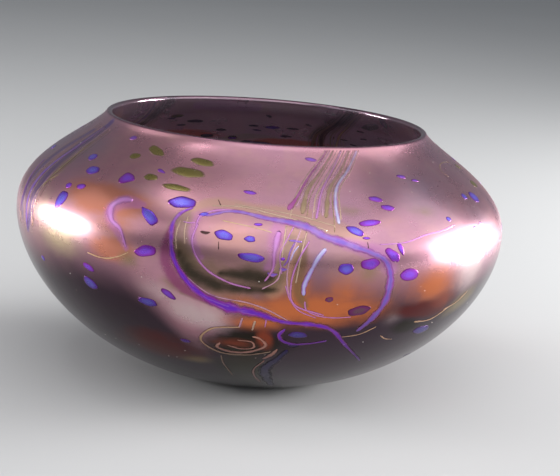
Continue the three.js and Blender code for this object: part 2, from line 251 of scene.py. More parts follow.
class Recipe:
    """One material: the nodes of its colours and textures, ending in a Principled shader."""

    def __init__(self, name):
        self.material = bpy.data.materials.new(name)
        self.material.use_nodes = True
        self.nodes = self.material.node_tree.nodes
        self.links = self.material.node_tree.links
        self.nodes.clear()
        self.shader = self.nodes.new("ShaderNodeBsdfPrincipled")
        output = self.nodes.new("ShaderNodeOutputMaterial")
        self.links.new(self.shader.outputs[0], output.inputs[0])

    def node(self, kind, settings, sockets, out=0):
        """Adds a node: settings are its own fields, sockets maps an input to a number or a Wire."""
        node = self.nodes.new(kind)
        for field, value in settings.items():
            setattr(node, field, value)
        self.feed(node, sockets)
        return Wire(self, node.outputs[out])

    def feed(self, node, sockets):
        """Links each Wire to its socket and sets every other value on it."""
        for key, value in sockets.items():
            if isinstance(value, Wire):
                self.links.new(value.socket, node.inputs[key])
            else:
                node.inputs[key].default_value = value

    def place(self):
        """Object coordinates in metres."""
        return self.node("ShaderNodeTexCoord", {}, {}, "Object")

    def above(self, low, high):
        """0 under a low height in metres, 1 over a high one."""
        return self.node("ShaderNodeSeparateXYZ", {}, {0: self.place()}, 2).edge(low, high)

    def shade_below(self, low, high):
        """1 below a low height and 0 above a high one: the mask of painted shade low on the wall."""
        return 1 - self.above(low, high)

    def highlight_above(self):
        """1 on the shoulder, where threads get a painted highlight, and 0 under the bulge."""
        return self.above(*SHOULDER_HIGHLIGHT)

    def neck_above(self):
        """1 on the neck, where drawn threads are thin, and 0 from the shoulder down."""
        return self.above(*NECK_ZONE)

    def lip_above(self):
        """1 on the fire-polished lip, a thin dark line from the front, and 0 below it."""
        return self.above(*LIP_ZONE)

    def stretched(self, x, y, z):
        """Object coordinates in metres times a number of grains per metre each way."""
        return self.node("ShaderNodeMapping", {}, {"Vector": self.place(), "Scale": (x, y, z)})

    def painted(self, name):
        """A number painted on the points of the piece."""
        return self.node("ShaderNodeAttribute", {"attribute_name": name}, {}, "Fac")

    def cloud(self, scale, detail=3.0, roughness=0.5, distortion=0.0, where=None):
        """Soft noise about 0.5, so many blots to the metre."""
        sockets = {"Vector": where or self.place(), "Scale": scale, "Detail": detail}
        sockets.update({"Roughness": roughness, "Distortion": distortion})
        return self.node("ShaderNodeTexNoise", {}, sockets)

    def blend(self, mask, under, over):
        """One colour over another where the mask is 1; a colour is a Wire or a linear red, green, blue."""
        under, over = (side if isinstance(side, Wire) else (*side, 1.0) for side in (under, over))
        settings = {"data_type": "RGBA"}
        return self.node("ShaderNodeMix", settings, {"Factor": mask, 6: under, 7: over}, 2)

    def relief(self, height, distance, strength):
        """Bumps as deep as a distance in metres where the height goes from 0 to 1."""
        sockets = {"Height": height, "Distance": distance, "Strength": strength}
        return self.node("ShaderNodeBump", {}, sockets)

    def glaze(self, **sockets):
        """Sets or links the shader's own sockets; an underscore in a name stands for a space."""
        self.feed(self.shader, {name.replace("_", " "): value for name, value in sockets.items()})
        return self.material


# ---- the blown body

# Soft patches of colour in the film: azimuth, climb, half width, half height, tilt and strength.

PATCHES = {
    # Gold lustre, which round the left-hand highlight is also a painted highlight halo.
    "straw_and_highlight": [
        (-50, 90, 14, 5, 0, 0.9), (-57, 98, 6, 8, 0, 0.7), (134, 112, 12, 5, 0, 0.7),
        (-124, 90, 10, 5, 0, 0.8),
    ],
    # Painted highlights: pale pink-white patches standing in for shine on the lustre.
    "painted_highlight": [
        (-12, 71.6, 10, 5, -20, 1.0), (-20, 79, 9, 4, -20, 0.6), (55, 88, 9, 7, 0, 0.9),
        (33, 73, 5, 4, 0, 0.35), (-38, 97, 8, 5, 0, 0.5), (-150, 80, 12, 5, 0, 0.7),
        (100, 96, 14, 6, 0, 0.6),
    ],
    "peach": [
        (-4.6, 103, 11, 7.4, 0, 0.72), (-33, 98, 10, 7, 0, 0.6), (22, 94, 10, 8, 0, 0.6),
        (31, 110, 14, 6, 0, 0.4), (182, 96, 9, 10, 0, 0.8),
    ],
    # Painted shade: greyer, darker patches on the sides of the shoulder.
    "side_shade": [
        (48, 122, 16, 12, 0, 0.75), (62, 106, 10, 12, 0, 0.6), (-60, 126, 10, 10, 0, 0.6),
        (-90, 120, 20, 10, 0, 0.7), (150, 118, 22, 9, 0, 0.6),
    ],
    "olive": [
        (-27.3, 89.4, 4, 3, 0, 0.8), (-16, 83.4, 6, 2.6, -14, 0.8), (24, 91.6, 4, 3.6, 0, 0.7),
        (21.6, 114.4, 6, 2.8, -10, 0.6), (42, 112.6, 8, 3, 0, 0.5), (56, 75, 9, 4, 24, 0.9),
        (-15, 45, 6, 3, 10, 0.8), (-62, 116, 5, 12, 0, 0.6), (160, 100, 9, 14, 0, 0.7),
        (-100, 82, 9, 4, 0, 0.8),
    ],
    "salmon": [
        (-38, 108.8, 15, 5, -3, 1.0), (-33, 101, 9, 5, 0, 0.5), (-32, 92, 8, 3.6, 4, 0.85),
    ],
    "orange": [
        (9.4, 84, 4.5, 12, 6, 0.8), (14, 78, 22, 6, 0, 1.0), (20, 84, 13, 9, 0, 0.62),
        (-1, 79.6, 9, 3, -14, 0.9), (0.4, 71, 9, 3.6, 0, 0.85), (41.6, 85, 13, 6.4, -6, 0.85),
        (-152, 98, 16, 9, 5, 1.0), (168, 82, 14, 8, -6, 0.9), (112, 88, 15, 8, 0, 0.9),
        (-101, 95, 9, 9, 0, 0.7),
    ],
    "rust": [
        (-4.6, 59.6, 8, 3, 0, 0.8), (3.4, 63, 2.6, 6, 10, 0.95), (48, 78, 8, 4, 0, 0.8),
    ],
    "wine": [
        (42.2, 75, 12, 3.4, -5, 1.0), (-24, 51, 16, 8, 6, 0.95), (120, 70, 12, 4, 4, 1.0),
        (74, 52, 14, 5, 8, 0.9),
    ],
    "ember": [
        (-155, 114.5, 14, 3.4, 3, 1.0), (172.5, 110.6, 16, 3, -3, 1.0),
    ],
    "smoke": [
        (-2.6, 59.4, 15, 7.6, 2, 1.0), (-1.4, 41, 9, 10, 0, 0.95), (38, 68, 6, 3.4, 0, 0.9),
        (182, 92, 7, 4, 0, 0.9), (-172, 50, 14, 7, 0, 0.9),
    ],
}

# Soft bands of colour in the film, each a route of [azimuth, climb, width].

BANDS = {
    "sand": [
        [[-16, 110.6, 2.4], [-12.1, 114.3, 3.6], [-8.3, 115, 4], [-1.6, 113.8, 4], [4.2, 112.8, 5.4],
         [10.6, 111, 6.4], [16.8, 107.4, 5.4], [23.1, 103.4, 3.4]],
        [[8, 109, 7], [6.6, 103, 9], [6, 96, 8], [5.4, 90, 7], [4, 84, 4]],
    ],
    "tan": [
        [[-16.6, 109, 3.4], [-16.4, 104.7, 6.4], [-16.2, 98.4, 7.4], [-15, 93.7, 7], [-13.4, 90, 4]],
        [[-15, 81, 1.8], [-9, 79, 2.6], [-3, 78.6, 2.6], [3, 77, 2.2], [8, 73, 1.4]],
        [[7.4, 104, 1.6], [5.6, 97, 1.8], [5, 90, 1.6], [3, 84, 1.4]],
        [[9.6, 103, 1.6], [8.2, 96, 1.8], [7.6, 88, 1.8], [8.4, 82, 1.4]],
        [[174, 112, 3], [184, 114, 4], [194, 108, 4], [197, 96, 4], [193, 86, 2.4]],
        [[-88, 104, 2.4], [-98, 112, 3.6], [-110, 108, 4], [-114, 96, 3.6], [-108, 84, 2.4]],
        [[165, 92, 5], [166, 80, 6], [170, 70, 5], [173, 62, 2.4]],
    ],
    "umber": [
        [[-16.4, 97, 4], [-14, 91, 8], [-9.4, 88, 11], [-3, 87.6, 11], [2.6, 88, 8], [5, 90, 4]],
        [[9.6, 100, 2.4], [9.2, 95, 3.4], [9, 89, 3.6], [9.4, 84, 3], [11, 79.4, 2]],
        [[-134, 92, 5], [-133, 80, 6], [-130, 68, 5]],
    ],
    "plum": [
        [[-18.4, 103, 2], [-19, 95.4, 3.6], [-18, 89, 4], [-15.8, 84, 3.8], [-12, 80.6, 3], [-8, 78, 2]],
        [[192, 99, 2.4], [194, 92, 3.6], [190, 84, 2.4]],
    ],
    "rose": [
        [[18.6, 102.2, 3.4], [21.6, 101, 4.4], [24.8, 99, 5.4], [27.4, 97.2, 6], [29, 93.6, 5]],
        [[4.4, 108.4, 3], [4.3, 105, 5], [3.6, 101, 4.4], [3.4, 96.4, 3], [2.4, 92.6, 2]],
        [[-27, 109.4, 2.4], [-32.2, 109.2, 5], [-34.4, 106, 5], [-33.6, 102, 4], [-30.6, 98.4, 3],
         [-28, 93.4, 2]],
        [[-13, 109.4, 2.4], [-14, 104, 2.6], [-13.4, 99.6, 2.4], [-11.4, 94.4, 2]],
        [[-124, 131, 7], [-126, 136, 8], [-127, 140, 5]],
        [[-152, 139, 4], [-164, 139.2, 6], [-176, 139, 4]],
    ],
    "violet": [
        [[-66, 141, 3], [-66.6, 130, 4.4], [-65.8, 118, 5], [-63.8, 104, 5], [-62.4, 95, 4],
         [-63.6, 88, 2.4]],
        [[-72, 134, 3], [-73, 118, 4], [-70, 102, 4], [-68, 92, 3]],
    ],
    "soot": [
        [[-137.4, 143, 8], [-136, 137.6, 8], [-135, 130.4, 6], [-134, 124, 4]],
        [[143.4, 143, 5], [152.6, 135, 6], [161, 125, 6], [165, 118, 5]],
        [[-16.2, 95, 2], [-15, 92.2, 4.4], [-13.3, 89, 5.6], [-9.8, 86.4, 5.4], [-5.3, 85, 4],
         [-0.1, 84.8, 3], [4.3, 85.2, 2]],
        [[-7, 89.6, 2], [-4, 89.8, 4], [-1, 89.4, 5.4], [1.6, 89, 5], [3.4, 89.6, 2.6]],
        [[-2, 53, 10], [-1.8, 46, 14], [-1.2, 38, 13], [0.4, 28, 11], [2, 18, 6]],
    ],
}


def patch_field(azimuth, climb, patches):
    """Height of the highest patch: its strength in the middle, falling evenly to 0 at twice its size."""
    radius = wall_at(climb)[0]
    field = np.zeros_like(climb)
    for middle, middle_climb, half_width, half_height, tilt, strength in patches:
        turned = (azimuth - middle + 180) % 360 - 180
        round_way = np.radians(turned) * radius
        up_way = climb - middle_climb
        cosine, sine = math.cos(math.radians(tilt)), math.sin(math.radians(tilt))
        along = (round_way * cosine + up_way * sine) / half_width
        across = (up_way * cosine - round_way * sine) / half_height
        field = np.maximum(field, strength * np.clip(1 - np.hypot(along, across) / 2, 0, 1))
    return field


def band_field(azimuth, climb, routes):
    """1 along the middle of each band, falling evenly to 0 at its width away from the middle."""
    radius = wall_at(climb)[0]
    field = np.zeros_like(climb)
    for route in routes:
        middles, climbs, widths, *_ = smooth_route(route, BAND_SPACING)
        for middle, middle_climb, width in zip(middles, climbs, widths):
            turned = (azimuth - middle + 180) % 360 - 180
            near = (np.abs(climb - middle_climb) < width) & (np.abs(turned) < BAND_WINDOW)
            away = np.hypot(np.radians(turned[near]) * radius[near], climb[near] - middle_climb)
            field[near] = np.maximum(field[near], np.clip(1 - away / width, 0, 1))
    return field


def foot_shade_field(azimuth, climb):
    """Painted shade, darker towards the foot: 1 at the foot and 0 on the shoulder; the change lies level,
    but for one dip near the front, where a painted highlight lies.
    """
    turned = (azimuth - FOOT_SHADE_DIP_AZIMUTH + 180) % 360 - 180
    line = FOOT_SHADE_CLIMB - FOOT_SHADE_DIP * np.exp(-((turned / FOOT_SHADE_DIP_HALF_WIDTH) ** 2))
    return np.clip(0.5 - (climb - line) / FOOT_SHADE_DEPTH, 0, 1)


def wall_thickness(climb):
    """The wall thickens towards the floor and is drawn out thinner at the lip."""
    thick = WALL + (FLOOR - WALL) * np.clip(1 - climb / FLOOR_BLEND, 0, 1) ** 2
    return thick - (WALL - LIP_THICK) * np.clip((climb - LIP_CLIMB) / LIP_BLEND + 1, 0, 1) ** 2


def body_profile():
    """Radius and height from the middle of the underside, up the outside, over the lip and down
    the inside to the middle of the floor, with the climb there and 1 for outside, 0 for inside."""
    part = np.linspace(0, 1, 13)
    pontil = np.stack([PONTIL_RADIUS * part, PONTIL_DEPTH * (1 - part**2)])[:, 1:]
    ring = np.linspace(PONTIL_RADIUS, REST_RADIUS, 6)[1:]
    under = np.concatenate([pontil, [ring, 0 * ring]], axis=1)
    rising = np.linspace(0, LIP_CLIMB, OUTER_STEPS)
    radius, height, lean = wall_at(rising)
    outer = np.stack([radius, height])
    turn = lean[-1] + np.linspace(0, math.pi, LIP_STEPS + 1)[1:-1]
    middle = outer[:, -1] - LIP_THICK / 2 * np.array([math.cos(lean[-1]), math.sin(lean[-1])])
    lip = middle[:, None] + LIP_THICK / 2 * np.stack([np.cos(turn), np.sin(turn)])
    falling = np.linspace(LIP_CLIMB, 0, INNER_STEPS)
    radius, height, lean = wall_at(falling)
    thickness = wall_thickness(falling)
    inner = np.stack([radius - thickness * np.cos(lean), height - thickness * np.sin(lean)])
    part = np.linspace(1, 0, 10)[1:-1]
    dished = FLOOR - FLOOR_DISH + (inner[1, -1] - FLOOR + FLOOR_DISH) * part**2
    floor = np.stack([inner[0, -1] * part, dished])
    outline = np.concatenate([under, outer, lip, inner, floor], axis=1)
    climb = np.zeros(outline.shape[1])
    climb[under.shape[1] : under.shape[1] + OUTER_STEPS] = rising
    over = under.shape[1] + OUTER_STEPS
    climb[over : over + lip.shape[1]] = LIP_CLIMB
    climb[over + lip.shape[1] : over + lip.shape[1] + INNER_STEPS] = falling
    outside = np.zeros(outline.shape[1])
    outside[:over] = 1
    outside[over : over + lip.shape[1]] = np.linspace(1, LIP_FILM, lip.shape[1])
    inside = over + lip.shape[1]
    fading = np.clip((falling - INNER_FILM_END) / INNER_FILM_DEPTH, 0, 1)
    outside[inside : inside + INNER_STEPS] = LIP_FILM * fading
    return outline, climb, outside


def make_body(material):
    """The profile turned round the upright axis, a full ring of points for each point of it."""
    (radius, height), climb, outside = body_profile()
    azimuth = np.arange(ROUND_STEPS) * 360 / ROUND_STEPS
    angle = np.radians(azimuth)[None, :]
    rings = np.stack(
        np.broadcast_arrays(
            radius[:, None] * np.sin(angle), -radius[:, None] * np.cos(angle), height[:, None] + 0 * angle
        ),
        axis=-1,
    ).reshape(-1, 3)
    ends = np.array([[0, 0, PONTIL_DEPTH], [0, 0, FLOOR - FLOOR_DISH]])
    points = np.concatenate([rings, ends]) * MM
    quads = grid_faces(len(radius), ROUND_STEPS, True)
    first = np.arange(ROUND_STEPS)
    last = first + (len(radius) - 1) * ROUND_STEPS
    fans = [(len(rings), first[::-1]), (len(rings) + 1, last)]
    piece = new_piece("blown_glass_body", points, quads, fans)
    climbs = np.repeat(climb, ROUND_STEPS)
    azimuths = np.tile(azimuth, len(radius))
    pad = np.zeros(2)
    paint(piece, "film", np.concatenate([np.repeat(outside, ROUND_STEPS), [1, 0]]))
    # Painted shade towards the foot.
    paint(piece, "foot_shade", np.concatenate([foot_shade_field(azimuths, climbs), [1, 0]]))
    for name, *shades in ZONES:
        field = patch_field(azimuths, climbs, PATCHES.get(name, []))
        field = np.maximum(field, band_field(azimuths, climbs, BANDS.get(name, [])))
        paint(piece, name, np.concatenate([field, pad]))
    finish_piece(piece, material, ["blown_body"])


# Each zone of the film: its colour, the field where it begins and where it is full, and how full.

ZONES = [
    # Painted shade: a greyer, darker mauve.
    ("side_shade", (0.36, 0.27, 0.38), 0.0, 0.9, 0.7),
    # Painted highlight: a pale pink-white tint.
    ("painted_highlight", (0.74, 0.56, 0.56), 0.1, 0.9, 0.85),
    # Gold lustre and, round the left-hand highlight, a painted highlight halo.
    ("straw_and_highlight", (0.60, 0.46, 0.28), 0.1, 0.95, 0.8),
    ("peach", (0.74, 0.38, 0.32), 0.15, 0.85, 0.7),
    ("salmon", (0.68, 0.24, 0.15), 0.1, 0.6, 0.95),
    ("sand", (0.60, 0.35, 0.25), 0.1, 0.7, 0.7),
    ("tan", (0.40, 0.26, 0.20), 0.1, 0.65, 0.72),
    ("olive", (0.32, 0.24, 0.11), 0.2, 0.8, 0.75),
    ("orange", (0.64, 0.18, 0.065), 0.15, 0.9, 0.95),
    ("umber", (0.22, 0.14, 0.07), 0.05, 0.8, 0.75),
    ("plum", (0.33, 0.05, 0.19), 0.1, 0.7, 0.8),
    ("rose", (0.62, 0.22, 0.55), 0.15, 0.8, 0.6),
    ("violet", (0.18, 0.09, 0.40), 0.1, 0.7, 0.8),
    ("wine", (0.12, 0.016, 0.015), 0.25, 0.7, 0.9),
    ("ember", (0.60, 0.06, 0.03), 0.2, 0.6, 0.95),
    ("smoke", (0.020, 0.015, 0.010), 0.25, 0.7, 0.95),
    ("soot", (0.035, 0.026, 0.014), 0.1, 0.95, 0.95),
    ("rust", (0.30, 0.06, 0.03), 0.25, 0.8, 0.85),
]


def lustred_amethyst():
    """Amethyst glass under a mauve metal lustre, with clouded patches of other colours, painted shade
    towards the foot and on the shoulder's sides, and painted highlights.
    """
    mix = Recipe("lustred_amethyst")
    film = mix.painted("film")
    drift = mix.cloud(14, 4, 0.55, 0.6)
    grain = mix.cloud(70, 5, 0.62, 0.4)
    fine = mix.cloud(1, 2, 0.5, 0.2, mix.stretched(300, 300, 900))
    ragged = (drift - 0.5) * 0.5 + (grain - 0.5) * 1.3 + (fine - 0.5) * 0.25

    colour = mix.blend(drift.edge(0.35, 0.65), (0.66, 0.31, 0.37), (0.54, 0.28, 0.38))
    colour = mix.blend(grain.edge(0.46, 0.68) * 0.28, colour, (0.66, 0.40, 0.34))
    colour = mix.blend(fine.edge(0.42, 0.66) * 0.10, colour, (0.40, 0.20, 0.26))
    # Painted shade: the lustre darkens towards the foot; the same mask makes it more metallic, less coated
    # and smoother there.
    low = (mix.painted("foot_shade") + (drift - 0.5) * 0.5).edge(0.15, 0.75)
    colour = mix.blend(low * 0.95, colour, (0.026, 0.018, 0.028))
    for name, shade, start, end, most in ZONES:
        field = mix.painted(name)
        colour = mix.blend((field + ragged * field).edge(start, end) * most, colour, shade)
    colour = mix.blend(film, (0.72, 0.58, 0.72), colour)
    colour = mix.blend(mix.lip_above() * 0.75, colour, (0.26, 0.09, 0.16))

    swirl = mix.cloud(30, 2, 0.5, 1.2)
    rings = mix.cloud(1, 2, 0.5, 0.3, mix.stretched(7, 7, 260))
    bloom = (grain - 0.5) * 0.16 + (fine - 0.5) * 0.04
    rough = 0.05 + film * (0.24 + bloom * (1 - low) - low * 0.1)
    relief = mix.relief(swirl + rings * (0.16 + mix.neck_above() * 0.22), 0.0003, 0.35)
    return mix.glaze(
        Base_Color=colour,
        Metallic=film * (0.84 + low * 0.14),
        Roughness=rough,
        Normal=relief,
        IOR=1.5,
        Transmission_Weight=0.9,
        Coat_Weight=0.2 - low * 0.19,
        Coat_Roughness=0.1,
    )


# ---- threads and trails

HAIR_PROUD = 0.06
HAIR_SPREAD = 1.2
PROUD = 0.09
SUNK = 0.5
SPREAD = 1.15
SPREADS = {"violet": 1.5, "blue": 1.4, "navy": 1.7, "white": 1.3}
WIDER = {"pink_hook_trail": 1.9, "pink_bar_trail": 1.4}
SEEDS = 150
HAIR_COLOURS = ("fawn", "olive", "mauve")

# The glass of each and its route of [azimuth, climb, width], near the solid that it stands for.

THREADS = {
    "front_ribbon_magenta_thread": ("magenta",
        [[20.4, 142.6, 0.8], [12.8, 130, 1], [8.8, 120, 1.3], [6.4, 114.2, 2.6]]),
    "front_ribbon_left_olive_thread": ("olive",
        [[22.8, 142.6, 1.2], [16.3, 132, 1.6], [11.9, 124, 2.2], [9.6, 112.8, 2.6]]),
    "front_ribbon_pink_thread": ("pink",
        [[25.6, 142.6, 0.8], [20.1, 133, 1], [15.4, 123, 1.2], [12.7, 111, 1.2]]),
    "front_ribbon_right_olive_thread": ("olive",
        [[28.4, 142.6, 1.2], [23.1, 133.5, 1.8], [17.6, 124, 2.2], [15, 111.5, 2.2]]),
    "front_ribbon_white_thread": ("white",
        [[31.6, 142.6, 0.8], [25.6, 134, 1], [20, 125.5, 1.2], [18.1, 117, 1.3], [17.9, 109, 1.2]]),
    "left_ribbon_blue_thread": ("blue",
        [[-67.1, 139, 1.4], [-66.6, 124, 2], [-67.2, 114, 2.4], [-66.5, 102, 2.4], [-63.6, 88, 1.4]]),
    "left_ribbon_violet_thread": ("violet",
        [[-76, 114, 1], [-73.8, 107, 1.4], [-71.2, 100, 1.6], [-70, 92, 1]]),
    "left_ribbon_olive_thread": ("olive",
        [[-62.4, 139, 1.4], [-62.4, 129, 2], [-61, 118, 2.4], [-61.2, 105, 1.4]]),
    "back_right_ribbon_olive_thread": ("olive",
        [[148, 142.6, 1.4], [155, 134, 1.8], [163, 122, 2.2], [166, 108, 2], [165, 93, 1.2]]),
    "back_right_ribbon_dark_thread": ("dark",
        [[143.8, 142.6, 2.4], [152.2, 135, 3], [160.4, 124, 3.4], [163, 108, 2.4], [161, 95, 1.2]]),
    "back_right_ribbon_pale_thread": ("gold",
        [[141, 142.6, 1], [148, 135, 1.2], [155.6, 122, 1.4], [158.4, 108, 1.4], [157.6, 98, 1]]),
    "back_left_ribbon_dark_thread": ("dark",
        [[-135, 142.6, 2.2], [-136, 132, 2.6], [-134, 123, 2.4], [-133, 110, 2], [-134, 96, 1.2]]),
    "back_left_ribbon_violet_thread": ("violet",
        [[-130.6, 142.6, 1.2], [-131.2, 131, 1.6], [-129.3, 121, 1.6], [-128.2, 106, 1.4],
         [-129.5, 90, 1]]),
    "outer_loop_trail": ("violet",
        [[-15, 111.8, 0.8], [-17.4, 109, 1.2], [-18.5, 105, 1.4], [-18.2, 100, 1.4], [-16.8, 92, 1.8],
         [-12.4, 83, 2.4], [-6, 77.4, 4], [0.4, 75.6, 3], [7.4, 72.2, 1.6], [13.5, 71.4, 1.8],
         [18.2, 69, 1.6], [23.4, 60.4, 1.2], [32, 48, 0.8]]),
    "inner_loop_trail": ("blue",
        [[-11.9, 109, 1], [-6, 112, 1.2], [2.1, 110.2, 1.8], [7, 109.2, 2.4], [11, 107.4, 3],
         [14, 104.6, 3.2], [17, 103, 3], [21.4, 100.6, 2.4], [25, 98.4, 2.2], [27.6, 96.2, 2.4],
         [29, 92, 2.8], [29.4, 86, 3], [29, 79.6, 2.8], [27.4, 74, 2.4], [24.6, 67.6, 1.4]]),
    "inner_loop_tail": ("pink",
        [[-13, 106, 1], [-13.5, 99, 1.2], [-10.6, 91.4, 1.2], [-5.4, 86.8, 1], [-0.6, 85.2, 0.8]]),
    "eye_loop_trail": ("violet",
        [[7.6, 69, 1], [6.5, 66, 1.4], [7.4, 63, 1.4], [10, 61.2, 1], [14, 61.6, 0.9], [18.2, 63.2, 0.8]]),
    "pink_hook_trail": ("pink",
        [[-30, 110.6, 1.6], [-32.8, 110, 2.4], [-34.6, 106.6, 2.6], [-33.2, 102, 1.6], [-30.1, 99, 1],
         [-28, 93.4, 0.8]]),
    "pink_bar_trail": ("pink",
        [[4.5, 106, 2.4], [4, 102.4, 2.8], [3.6, 98, 1.8], [3.5, 92.6, 1], [2, 88, 0.8]]),
    "back_loop_trail": ("violet",
        [[171, 101, 1.2], [176, 107, 2], [184, 108.6, 2.8], [191, 103, 2.8], [193, 94, 2.6],
         [188, 85, 2.2], [179, 81, 1.8], [171, 84, 1.2]]),
    "side_loop_trail": ("violet",
        [[-90, 98, 1.2], [-94, 105, 1.8], [-102, 107.4, 2.6], [-109, 101, 2.6], [-109, 91, 2.2],
         [-102, 84, 1.8], [-93, 83, 1.2]]),
    "white_strand": ("white",
        [[14.4, 100.4, 2.2], [12.7, 97, 1.8], [11.1, 91.5, 1.7], [10.2, 87, 1.8], [10.4, 83.4, 1.4]]),
    "belly_pink_thread": ("pink",
        [[11, 103, 0.8], [8.6, 96, 0.9], [7.5, 88, 0.9], [8.4, 80.4, 0.9], [15.6, 75.6, 0.8]]),
    "low_blue_thread": ("navy",
        [[9.3, 57.6, 1.2], [7.4, 51, 2], [4.9, 43, 3], [6.6, 32, 2.4], [10, 20, 1.2]]),
    "low_gold_thread": ("peach",
        [[4.2, 49.6, 0.8], [1.8, 42, 1], [2.2, 35, 1], [5, 26, 0.8]]),
    "low_swirl_thread": ("gold",
        [[5.4, 56, 0.8], [-1, 52.8, 1], [-8, 53.4, 1.2], [-11.8, 59.6, 1.2], [-9, 66.2, 1],
         [-2.4, 68.6, 0.8]]),
    "right_gold_thread": ("gold",
        [[40.4, 69.6, 0.8], [46, 69.4, 0.9], [51, 73.6, 0.8]]),
}

# Ribbons of hair threads drawn down from the lip: left edge, right edge and how many hairs.

HAIR_RIBBONS = {
    "front_ribbon": ([[20, 142.8, 1], [12, 130, 1], [8, 119, 1], [6.6, 112, 1]],
                     [[32.4, 142.8, 1], [26, 133, 1], [20.4, 124, 1], [18.4, 110, 1]], 13),
    "left_ribbon": ([[-74, 139, 1], [-75, 124, 1], [-74, 108, 1], [-70, 90, 1]],
                    [[-60, 139, 1], [-59.6, 124, 1], [-59.6, 110, 1], [-60, 94, 1]], 11),
    "back_right_ribbon": ([[139, 142.8, 1], [147, 134, 1], [154, 122, 1], [156, 100, 1]],
                          [[150, 142.8, 1], [157, 134, 1], [165, 122, 1], [168, 100, 1]], 11),
    "back_left_ribbon": ([[-139, 142.8, 1], [-139, 124, 1], [-138, 108, 1], [-137, 94, 1]],
                         [[-127, 142.8, 1], [-127, 124, 1], [-126, 108, 1], [-127, 92, 1]], 9),
}


def thread_shape(route, proud, spread, spacing=0.7, sides=14):
    """A flattened rod carried along a route on the wall: its half width follows the route, drifts a
    little, and rounds off to a point at both ends; its flat crown stands proud and the rest is sunk."""
    azimuth, climb, width, heading, run = smooth_route(route, spacing)
    from_end = np.minimum(run, run[-1] - run)
    closing = np.sqrt(1 - (1 - np.clip(from_end / (1.2 * width), 0, 1)) ** 2)
    slow = 0.10 * np.sin(run * 0.9 + dice.uniform(0, 6))
    quick = 0.06 * np.sin(run * 2.3 + dice.uniform(0, 6))
    drift = 1 + slow + quick
    half = width / 2 * spread * closing * drift
    turn = np.arange(sides) * 2 * math.pi / sides
    side = np.cos(turn)[None, :] * half[:, None]
    bow = np.sign(np.sin(turn)) * np.abs(np.sin(turn)) ** 0.6
    lift = (np.where(bow > 0, proud, SUNK) * bow)[None, :] * closing[:, None]
    round_way = -heading[:, 1:2] * side
    up_way = heading[:, 0:1] * side
    there = azimuth[:, None] + np.degrees(round_way / wall_at(climb)[0][:, None])
    rings = on_wall(there, climb[:, None] + up_way, lift)[1:-1]
    tips = on_wall(azimuth[[0, -1]], climb[[0, -1]], 0.0)
    rows = len(rings)
    first = np.arange(sides)
    return {
        "points": np.concatenate([rings.reshape(-1, 3), tips]),
        "quads": grid_faces(rows, sides, True)[:, ::-1],
        "fans": [(rows * sides, first), (rows * sides + 1, (first + (rows - 1) * sides)[::-1])],
        "across": np.concatenate([np.broadcast_to(np.cos(turn), (rows, sides)).reshape(-1), [0, 0]]),
        "along": np.concatenate([np.repeat(run[1:-1], sides), run[[0, -1]]]),
    }


def chip_shape(azimuth, climb, length, width, tilt=0, taper=0, proud=0.12, sunk=0.6, rings=9, sides=32):
    """A lens of glass: an ellipse, narrower towards its far end as the taper grows and uneven all
    round by three slow waves, domed above the wall and rounded below it."""
    turn = np.arange(sides) * 2 * math.pi / sides
    waves = sum(dice.uniform(0.01, 0.05) * np.cos(n * turn + dice.uniform(0, 6)) for n in (2, 3, 5))
    steep = np.linspace(-math.pi / 2, math.pi / 2, rings + 2)[1:-1]
    out = np.cos(steep)[:, None]
    lift = np.where(steep > 0, proud, sunk)[:, None] * np.sin(steep)[:, None] + 0 * turn
    along = length / 2 * out * (1 + waves) * np.cos(turn)
    across = width / 2 * out * (1 + waves) * np.sin(turn) * (1 - taper * out * np.cos(turn))
    cosine, sine = math.cos(math.radians(tilt)), math.sin(math.radians(tilt))
    there = azimuth + np.degrees((along * cosine - across * sine) / wall_at(climb)[0])
    layers = on_wall(there, climb + along * sine + across * cosine, lift)
    poles = on_wall(np.array([azimuth, azimuth]), np.array([climb, climb]), np.array([-sunk, proud]))
    first = np.arange(sides)
    return {
        "points": np.concatenate([layers.reshape(-1, 3), poles]),
        "quads": grid_faces(rings, sides, True),
        "fans": [(rings * sides, first[::-1]), (rings * sides + 1, first + (rings - 1) * sides)],
        "rim": np.concatenate([np.repeat(out[:, 0], sides), [0, 0]]),
    }


def piece_of_shapes(name, shapes, material, replaced=()):
    """One piece of several closed shapes, with the numbers painted on each of them."""
    starts = np.cumsum([0] + [len(shape["points"]) for shape in shapes])
    points = np.concatenate([shape["points"] for shape in shapes])
    quads = np.concatenate([shape["quads"] + start for shape, start in zip(shapes, starts)])
    fans = [
        (middle + start, ring + start)
        for shape, start in zip(shapes, starts)
        for middle, ring in shape["fans"]
    ]
    piece = new_piece(name, points, quads, fans)
    for painted in ("across", "along", "rim"):
        if painted in shapes[0]:
            paint(piece, painted, np.concatenate([shape[painted] for shape in shapes]))
    finish_piece(piece, material, replaced)


